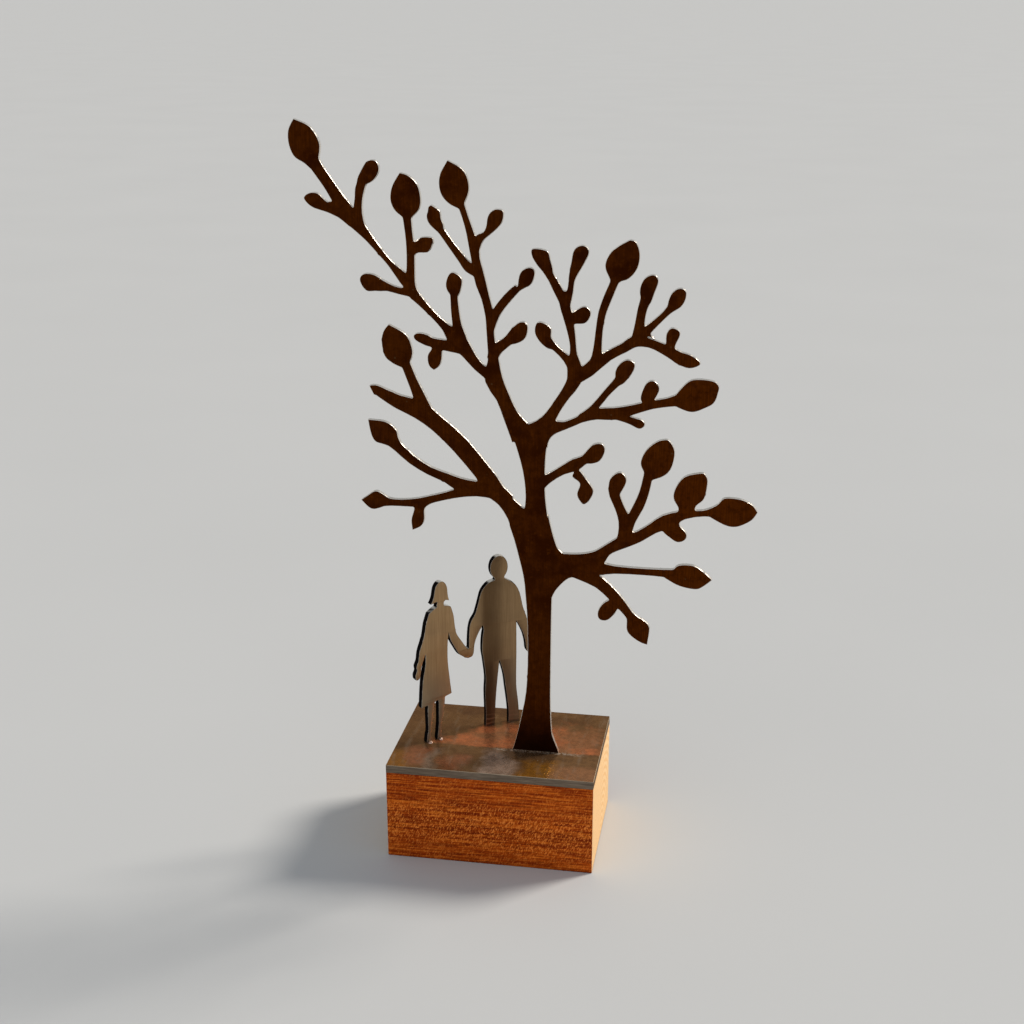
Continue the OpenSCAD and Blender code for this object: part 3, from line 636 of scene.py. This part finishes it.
def bent(woman, man, fold):
    """Gives the place of a point of the flat couple once the sheet is folded at the hands."""
    angles = [math.atan2(plane[0].x, -plane[0].y) for plane in (woman, man)]
    half = BEND * (angles[0] - angles[1]) / 2
    middle = (angles[0] + angles[1]) / 2
    centre = fold + BEND * Vector((math.sin(middle), -math.cos(middle), 0))

    def place(along, up, depth):
        share = min(max((along + half) / (2 * half), 0), 1)
        turn = angles[0] + (angles[1] - angles[0]) * share
        out = Vector((math.sin(turn), -math.cos(turn), 0))
        spare = along - min(max(along, -half), half)
        where = centre - (BEND + depth) * out + spare * Vector((math.cos(turn), math.sin(turn), 0))
        return (where.x, where.y, up)

    return place


def couple_sheet():
    """Builds the couple and gives the place of the fold at their hands."""
    low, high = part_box("couple")
    bm = merged("couple")
    woman, man, fold = couple_fronts(bm)
    halves = unfolded(bm, woman, fold) + unfolded(bm, man, fold)
    bm.free()
    flat = anticlockwise(np.array(halves))
    flat = soften(flat, 0.26 * MM, 0.34 * MM, least=48)
    flat[:, 1] = np.maximum(flat[:, 1], low.z)
    thickness = couple_thickness(woman, fold)
    made = cut_sheet(flat, thickness, bent(woman, man, fold), seed=23, arris=0.12 * MM)
    edge = cut_edge_material("couple_cut_edge", (0.92, 0.85, 0.74), (0.006, 0.005, 0.005), couple_edge_painted_shade)
    face = couple_face_material(fold.x / MM, high.x / MM, low.z / MM)
    add_object("couple_sheet", made, [face, edge], ["couple"])
    return fold


def couple_thickness(plane, fold):
    """Distance between the front and the back of the woman's half."""
    normal, distance = plane
    along = Vector((-normal.y, normal.x, 0))
    half = [v.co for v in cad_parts["couple"].data.vertices if (v.co - fold).dot(along) < -5 * MM]
    return distance - min(p.dot(normal) for p in half)


# ---------------------------------------------------------------- base


def wood_block():
    made = dressed("wood_block", 0.45 * MM)
    return add_object("hardwood_block", made, [wood_material(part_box("wood_block"))],
                      ["wood_block"])


def steel_plate(fold):
    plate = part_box("base_plate")
    made = dressed("base_plate", 0.28 * MM)
    tree_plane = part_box("tree")[0].y / MM
    material = plate_material(plate, fold, tree_plane)
    return add_object("steel_plate", made, [material], ["base_plate"])


# ---------------------------------------------------------------- welds


def foot_bead(material):
    """Fillet bead along the back of the tree's foot: overlapping ripples from the plate up to the sheet."""
    low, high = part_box("tree_weld")
    leg = high.z - low.z
    stations, around = 150, 14
    pitch = 1.5 * MM
    bm = bmesh.new()
    rows = []
    for i in range(stations + 1):
        share = i / stations
        x = low.x + (high.x - low.x) * share
        taper = min(1, 6 * share, 6 * (1 - share)) ** 0.5
        row = []
        for k in range(around + 1):
            angle = math.pi / 2 * k / around
            lag = 0.5 * pitch * math.sin(2 * angle)
            ripple = 0.06 * (1 - ((x + lag) / pitch % 1)) * math.sin(2 * angle)
            rough = 0.05 * noise.noise(Vector((x, angle * leg, 0)) / (1.1 * MM))
            flat = 0.80 + 0.20 * abs(math.cos(2 * angle)) ** 0.8
            r = leg * taper * (flat + ripple + rough)
            row.append(bm.verts.new((x, low.y + r * math.cos(angle), low.z + r * math.sin(angle))))
        row.append(bm.verts.new((x, low.y, low.z)))
        rows.append(row)
    join_rows(bm, rows)
    bm.faces.new(rows[0][::-1])
    bm.faces.new(rows[-1])
    bmesh.ops.recalc_face_normals(bm, faces=bm.faces)
    return add_object("tree_foot_bead", bm, [material], ["tree_weld"])


def islands(points, gap):
    """Groups points that are nearer to each other than gap."""
    groups = []
    for point in points:
        near = [g for g in groups if any((point - q).length < gap for q in g)]
        joined = [point] + [q for g in near for q in g]
        groups = [g for g in groups if g not in near] + [joined]
    return groups


def tack_beads(material):
    """Small domed tack welds in the corners between the couple's feet and the plate."""
    low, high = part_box("couple_welds")
    places = [v.co.copy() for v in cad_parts["couple_welds"].data.vertices]
    radius = high.z - low.z
    bm = bmesh.new()
    for group in islands(places, 2.2 * radius):
        base = [p for p in group if p.z < low.z + 1e-5]
        centre = sum(base, Vector()) / len(base)
        tack(bm, Vector((centre.x, centre.y, low.z)), radius)
    return add_object("couple_tack_beads", bm, [material], ["couple_welds"])


def tack(bm, centre, radius):
    rings, around = 12, 28
    rows = []
    for i in range(rings + 1):
        tilt = math.pi / 2 * i / rings
        row = []
        for k in range(around):
            turn = math.tau * k / around
            out = Vector((math.cos(turn) * math.cos(tilt), math.sin(turn) * math.cos(tilt), math.sin(tilt)))
            lump = 1 + 0.22 * noise.noise((centre + out * radius) / (0.7 * MM)) + 0.05 * math.cos(9 * tilt)
            row.append(bm.verts.new(centre + radius * lump * Vector((out.x, out.y, 0.8 * out.z))))
            if i == rings:
                break
        rows.append(row)
    for first, second in zip(rows, rows[1:]):
        for k in range(around):
            j = (k + 1) % around
            top = [second[j], second[k]] if len(second) > 1 else [second[0]]
            bm.faces.new([first[k], first[j]] + top).smooth = True
    bm.faces.new(rows[0][::-1])


# ---------------------------------------------------------------- fixings under the block


def pair_centres(node):
    """Middle of the underside of the two round pieces in a node."""
    low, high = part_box(node)
    reach = (high.y - low.y) / 2
    middle = (high.y + low.y) / 2
    return [Vector((low.x + reach, middle, low.z)), Vector((high.x - reach, middle, low.z))], reach


def stud_row(bm, centre, z, radius, threaded, around=36):
    """One ring of a stud's corners at height z: thread groove, plain shank or pointed end."""
    pitch, depth, point_cut = 0.8 * MM, 0.42 * MM, 0.7 * MM
    row = []
    for k in range(around):
        phase = (z / pitch - k / around) % 1
        groove = depth * (1 - abs(2 * phase - 1)) * (z <= threaded)
        reach = min(radius - groove, radius - point_cut + z)
        angle = math.tau * k / around
        place = Vector((reach * math.cos(angle), reach * math.sin(angle), z))
        row.append(bm.verts.new(centre + place))
    return row


def studs(material):
    """Threaded studs, with the thread as a helix on the lower part and a pointed end."""
    low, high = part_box("fixing_studs")
    centres, radius = pair_centres("fixing_studs")
    threaded, rings = 16 * MM, 160
    heights = [threaded * i / rings for i in range(rings + 1)] + [high.z - low.z]
    bm = bmesh.new()
    for centre in centres:
        rows = [stud_row(bm, centre, z, radius, threaded) for z in heights]
        join_rows(bm, rows)
        bm.faces.new(rows[0][::-1])
        bm.faces.new(rows[-1])
    return add_object("threaded_studs", bm, [material], ["fixing_studs"])


def nuts(material):
    """Hexagon nuts with chamfered corners and a countersunk bore."""
    low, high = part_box("fixing_nuts")
    height = high.z - low.z
    flats = high.y - low.y
    bore = pair_centres("fixing_studs")[1]
    rim = 0.93 * flats / 2

    def profile(angle):
        across = nut_radius(angle, flats)
        drop = (across - rim) * math.tan(math.radians(30))
        sink = 0.35 * MM
        return [(bore, sink), (bore + sink, 0), (rim, 0), (across, drop), (across, height - drop),
                (rim, height), (bore + sink, height), (bore, height - sink)]

    bm = bmesh.new()
    corner = flats / math.sqrt(3)
    for centre in (Vector((low.x + corner, 0, low.z)), Vector((high.x - corner, 0, low.z))):
        turned(bm, centre, profile, 96)
    bmesh.ops.recalc_face_normals(bm, faces=bm.faces)
    return add_object("hexagon_nuts", bm, [material], ["fixing_nuts"])


def nut_radius(angle, flats):
    """Distance from the middle to the side of a hexagon that has a corner on the X axis."""
    return flats / 2 / math.cos(angle % (math.pi / 3) - math.pi / 6)


def washers(material):
    """Flat washers with stamped, slightly rounded rims."""
    low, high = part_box("fixing_washers")
    thick = high.z - low.z
    centres, outer = pair_centres("fixing_washers")
    inner = pair_centres("fixing_studs")[1] + 0.15 * MM
    soft = 0.14 * MM

    def profile(angle):
        return [(inner, soft), (inner + soft, 0), (outer - 2 * soft, 0), (outer - 0.4 * soft, 0.5 * soft),
                (outer, 2 * soft), (outer, thick - soft), (outer - soft, thick), (inner + soft, thick),
                (inner, thick - soft)]

    bm = bmesh.new()
    for centre in centres:
        turned(bm, centre, profile, 64)
    bmesh.ops.recalc_face_normals(bm, faces=bm.faces)
    return add_object("flat_washers", bm, [material], ["fixing_washers"])


# ---------------------------------------------------------------- stage, light and camera


def floor():
    bm = bmesh.new()
    bmesh.ops.create_grid(bm, x_segments=8, y_segments=8, size=FLOOR_REACH)
    mesh = bpy.data.meshes.new("floor")
    bm.to_mesh(mesh)
    bm.free()
    made = bpy.data.objects.new("floor", mesh)
    mesh.materials.append(floor_material())
    bpy.context.scene.collection.objects.link(made)


def sun(name, aim, strength, spread, colour):
    """Even light along aim, soft at the edges of its shadows by its spread in degrees."""
    data = bpy.data.lights.new(name, "SUN")
    data.energy = strength
    data.angle = math.radians(spread)
    data.color = colour
    made = bpy.data.objects.new(name, data)
    made.rotation_euler = Vector(aim).to_track_quat("-Z", "Y").to_euler()
    bpy.context.scene.collection.objects.link(made)


def lights():
    sun("key_right", (-0.66, -0.45, -0.60), 3.1, 17, (1.0, 0.93, 0.83))
    sun("fill_front", (0.35, 0.80, -0.50), 0.35, 60, (1.0, 0.98, 0.96))
    world = bpy.data.worlds.new("studio")
    world.use_nodes = True
    background = world.node_tree.nodes["Background"]
    background.inputs["Color"].default_value = (0.90, 0.95, 1.0, 1)
    background.inputs["Strength"].default_value = 0.40
    bpy.context.scene.world = world


def camera():
    data = bpy.data.cameras.new("camera")
    data.lens = 54.07
    data.sensor_width = 36
    data.clip_start = 0.01
    made = bpy.data.objects.new("camera", data)
    made.location = (0.11995, -0.67212, 0.40181)
    made.rotation_euler = Vector((-0.15901, 0.93262, -0.32394)).to_track_quat("-Z", "Y").to_euler()
    bpy.context.scene.collection.objects.link(made)
    bpy.context.scene.camera = made


camera()
tree_sheet()
fold_line = couple_sheet()
wood_block()
steel_plate(fold_line)
bead = weld_material()
foot_bead(bead)
tack_beads(bead)
studs(plated_material("stud_copper_flash", (0.75, 0.45, 0.30), (0.52, 0.30, 0.19), 0.28))
zinc = plated_material("zinc_plating", (0.70, 0.71, 0.72), (0.50, 0.52, 0.55), 0.24)
nuts(zinc)
washers(zinc)
floor()
lights()
bpy.context.scene.view_settings.view_transform = "Standard"

bpy.context.view_layer.update()
